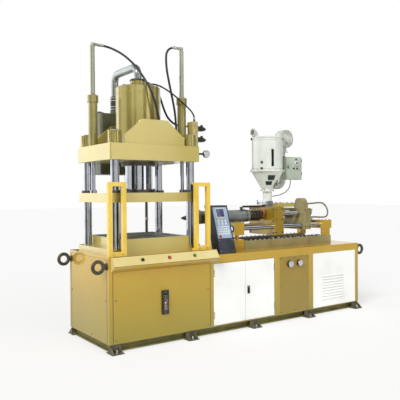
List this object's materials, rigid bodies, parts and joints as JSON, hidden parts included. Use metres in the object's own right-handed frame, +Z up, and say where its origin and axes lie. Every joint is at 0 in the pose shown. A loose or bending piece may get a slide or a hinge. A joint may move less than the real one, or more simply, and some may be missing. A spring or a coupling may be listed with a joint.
{
  "type": "vertical injection moulding machine",
  "caption": "Vertical clamp press on tie bars with a horizontal injection unit, hopper dryer, control panel and cabinets on a long base.",
  "frame": {"origin": "middle of the four corner anchor holes at floor level", "axes": "+X along the machine from the press to the injection unit, +Y to the back, +Z up"},
  "size_m": [4.69, 1.557, 3.734],
  "materials": {
    "brown_paint": "satin",
    "gold_paint": "satin",
    "dark_gold_paint": "satin",
    "white_paint": "satin",
    "yellow_paint": "satin",
    "chrome_steel": "polished",
    "dark_steel": "ground",
    "grey_cover": "satin",
    "cream_paint": "satin",
    "bright_sheet": "satin",
    "green_grey_paint": "satin",
    "black_plastic": "matte",
    "button_plastic": "gloss",
    "navy_paint": "satin",
    "black_iron": "painted black",
    "black_rubber": "matte"
  },
  "bodies": {
    "frame": {"base_plinth": "brown_paint", "levelling_feet": "brown_paint", "press_frame": "gold_paint", "press_panels": "gold_paint", "lower_platen": "gold_paint", "tie_bars": "chrome_steel", "tie_bar_nuts": "gold_paint", "upper_platen": "gold_paint", "cylinder_ribs": "gold_paint", "main_cylinder": "gold_paint", "cylinder_head": "gold_paint", "prefill_pipe": "chrome_steel", "tank_body": "dark_gold_paint", "tank_lid": "dark_gold_paint", "lift_cylinders": "gold_paint", "valve_manifold": "gold_paint", "solenoid_valves": "black_plastic", "pressure_gauges": "black_plastic", "guard_frames": "yellow_paint", "light_curtains": "black_plastic", "button_console": "gold_paint", "push_buttons": "button_plastic", "oil_level_gauge": "black_plastic", "lifting_rings": "black_iron", "bed_slab": "gold_paint", "cabinet_floor": "gold_paint", "cabinet_posts": "gold_paint", "cabinet_panels": "gold_paint", "louvre_panel": "white_paint", "bed_rails": "gold_paint", "rod_brackets": "gold_paint", "guide_rods": "chrome_steel", "operator_panel": "navy_paint", "hose_fittings": "dark_steel", "hose_lift_left": "black_rubber", "hose_lift_right": "black_rubber", "valve_hose_thin": "black_rubber", "valve_hose": "black_rubber"},
    "clamp": {"moving_platen": "gold_paint", "main_ram": "chrome_steel", "platen_flanges": "dark_steel", "lift_rods": "chrome_steel"},
    "carriage": {"injection_plate": "gold_paint", "barrel": "dark_steel", "barrel_cover": "grey_cover", "injection_rods": "chrome_steel", "hopper_cone": "cream_paint", "hopper_drum": "cream_paint", "hopper_lid": "cream_paint", "hopper_blower": "bright_sheet", "dryer_box": "green_grey_paint", "injection_bridge": "gold_paint", "dryer_cable": "black_rubber"},
    "injector": {"thrust_plate": "gold_paint", "hydraulic_motor": "dark_gold_paint", "screw_shaft": "chrome_steel", "motor_hose": "black_rubber"},
    "door_l": {"left_door": "white_paint"},
    "door_r": {"right_door": "white_paint", "door_latch": "black_plastic"}
  },
  "joints": [
    {"name": "clamp_slide", "type": "slide", "parent": "frame", "child": "clamp", "axis": [0, 0, 1], "range_m": [-0.12, 0.28]},
    {"name": "carriage_slide", "type": "slide", "parent": "frame", "child": "carriage", "axis": [-1, 0, 0], "range_m": [-0.04, 0.35]},
    {"name": "injection_slide", "type": "slide", "parent": "carriage", "child": "injector", "axis": [-1, 0, 0], "range_m": [-0.03, 0.22]},
    {"name": "left_door_hinge", "type": "hinge", "parent": "frame", "child": "door_l", "pos_m": [-0.667, -0.557, 0.5], "axis": [0, 0, -1], "range_deg": [0, 110]},
    {"name": "right_door_hinge", "type": "hinge", "parent": "frame", "child": "door_r", "pos_m": [0.366, -0.557, 0.5], "axis": [0, 0, 1], "range_deg": [0, 110]}
  ]
}
